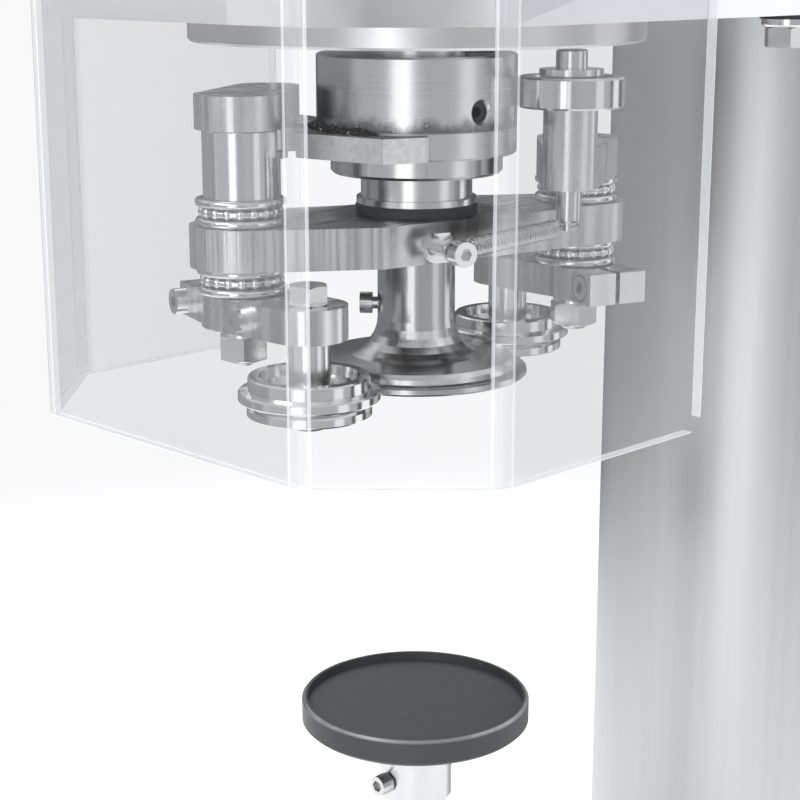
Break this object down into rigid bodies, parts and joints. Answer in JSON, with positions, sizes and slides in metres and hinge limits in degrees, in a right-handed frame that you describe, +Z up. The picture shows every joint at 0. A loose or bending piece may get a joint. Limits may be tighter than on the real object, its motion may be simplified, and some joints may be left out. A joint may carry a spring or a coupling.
{
  "type": "can seamer",
  "caption": "Bench can seamer: a roller carrier turns round a fixed chuck over a rising tray, behind a clear guard hung from a white head on a round column.",
  "frame": {"origin": "centre of the floor rectangle under the machine, on the plane the rubber feet stand on", "axes": "+Z up, -Y towards the operator, +X to the operator's right"},
  "size_m": [0.26, 0.523, 0.88],
  "materials": {
    "painted_white": "gloss white powder coat",
    "base_white": "gloss white powder coat",
    "rubber_black": "matt black",
    "polished_steel": "polished stainless",
    "machined_steel": "turned bright steel",
    "plated_steel": "nickel plated",
    "black_oxide": "black oxide",
    "acrylic_clear": "clear acrylic",
    "cast_grey": "machined casting",
    "motor_grey": "cast aluminium",
    "pulley_alu": "turned aluminium",
    "button_red": "red moulding",
    "button_green": "green moulding",
    "plastic_black": "black moulding",
    "tray_black": "black oxide finish, worn at the rim",
    "spring_steel": "drawn spring wire"
  },
  "bodies": {
    "machine": {"base_housing": "base_white", "rubber_feet": "rubber_black", "column_tube": "polished_steel", "column_flange": "machined_steel", "head_housing": "painted_white", "head_floor": "painted_white", "mounting_disc": "machined_steel", "guard": "acrylic_clear", "guard_screws": "plated_steel", "drain_plug": "plated_steel", "drain_washer": "rubber_black", "bearing_housing": "cast_grey", "fixed_shaft": "machined_steel", "seaming_chuck": "machined_steel", "chuck_screw": "plated_steel", "lift_guide_bush": "machined_steel", "lift_actuator": "motor_grey", "drive_motor": "motor_grey", "drive_belt": "rubber_black", "button_collars": "plastic_black"},
    "lift": {"lift_shaft": "machined_steel", "can_tray": "tray_black", "tray_screw": "plated_steel"},
    "motor_rotor": {"motor_pulley": "pulley_alu"},
    "e_stop": {"e_stop_button": "button_red"},
    "start": {"start_button": "button_green"},
    "power": {"power_rocker": "plastic_black"},
    "carrier": {"carrier_sleeve": "machined_steel", "carrier_pulley": "pulley_alu", "cross_arm": "machined_steel", "arm_seal_ring": "rubber_black", "arm_bearing_ring": "plated_steel", "spring_anchor_screws": "plated_steel", "front_thrust_bearings": "plated_steel", "rear_thrust_bearings": "plated_steel", "front_return_spring": "spring_steel", "rear_return_spring": "spring_steel"},
    "cam": {"cam_hub": "machined_steel", "hub_set_screw": "black_oxide"},
    "front_lever": {"front_pivot_shaft": "machined_steel", "front_spacer_sleeve": "plated_steel", "front_top_lever": "machined_steel", "front_follower_pin": "plated_steel", "front_roller_arm": "plated_steel", "front_clamp_screws": "plated_steel", "front_pivot_nut": "plated_steel", "front_roller_shaft": "plated_steel", "front_roller_screw": "black_oxide"},
    "front_roller": {"front_seaming_roller": "machined_steel"},
    "front_follower": {"front_cam_follower": "plated_steel"},
    "rear_lever": {"rear_pivot_shaft": "machined_steel", "rear_top_lever": "machined_steel", "rear_follower_pin": "plated_steel", "rear_roller_arm": "plated_steel", "rear_clamp_screws": "plated_steel", "rear_pivot_nut": "plated_steel", "rear_roller_shaft": "plated_steel", "rear_roller_screw": "black_oxide"},
    "rear_roller": {"rear_seaming_roller": "machined_steel"},
    "rear_follower": {"rear_cam_follower": "plated_steel"}
  },
  "joints": [
    {"name": "lift_slide", "type": "slide", "parent": "machine", "child": "lift", "axis": [0, 0, 1], "range_m": [0, 0.03]},
    {"name": "carrier_spin", "type": "hinge", "parent": "machine", "child": "carrier", "pos_m": [0, -0.1095, 0.6], "axis": [0, 0, 1], "continuous": true},
    {"name": "motor_spin", "type": "hinge", "parent": "machine", "child": "motor_rotor", "pos_m": [0, 0.0405, 0.72], "axis": [0, 0, 1], "continuous": true},
    {"name": "cam_turn", "type": "hinge", "parent": "carrier", "child": "cam", "pos_m": [0, -0.1095, 0.6], "axis": [0, 0, 1], "range_deg": [0, 40]},
    {"name": "e_stop_press", "type": "slide", "parent": "machine", "child": "e_stop", "axis": [0, 1, 0], "range_m": [0, 0.004], "stiffness_N_per_m": 900, "springref_m": -0.001},
    {"name": "start_press", "type": "slide", "parent": "machine", "child": "start", "axis": [0, 1, 0], "range_m": [0, 0.004], "stiffness_N_per_m": 600, "springref_m": -0.001},
    {"name": "power_tilt", "type": "hinge", "parent": "machine", "child": "power", "pos_m": [0.112, 0.0755, 0.78], "axis": [0, 1, 0], "range_deg": [-9, 9]},
    {"name": "front_swing", "type": "hinge", "parent": "carrier", "child": "front_lever", "pos_m": [-0.0232, -0.18219, 0.56], "axis": [0, 0, 1], "range_deg": [0, 4.2], "stiffness_Nm_per_rad": 6, "springref_deg": -5.73, "deforming": ["front_return_spring"]},
    {"name": "front_roller_spin", "type": "hinge", "parent": "front_lever", "child": "front_roller", "pos_m": [0.01415, -0.18163, 0.511], "axis": [0, 0, 1], "continuous": true},
    {"name": "front_follower_spin", "type": "hinge", "parent": "front_lever", "child": "front_follower", "pos_m": [-0.0504, -0.1444, 0.602], "axis": [0, 0, 1], "continuous": true},
    {"name": "rear_swing", "type": "hinge", "parent": "carrier", "child": "rear_lever", "pos_m": [0.0232, -0.03681, 0.56], "axis": [0, 0, 1], "range_deg": [0, 4.2], "stiffness_Nm_per_rad": 6, "springref_deg": -5.73, "deforming": ["rear_return_spring"]},
    {"name": "rear_roller_spin", "type": "hinge", "parent": "rear_lever", "child": "rear_roller", "pos_m": [-0.01415, -0.03737, 0.511], "axis": [0, 0, 1], "continuous": true},
    {"name": "rear_follower_spin", "type": "hinge", "parent": "rear_lever", "child": "rear_follower", "pos_m": [0.0504, -0.0746, 0.62], "axis": [0, 0, 1], "continuous": true}
  ],
  "couplings": [
    {"joint": "motor_spin", "follows": "carrier_spin", "ratio": 2.6667}
  ]
}
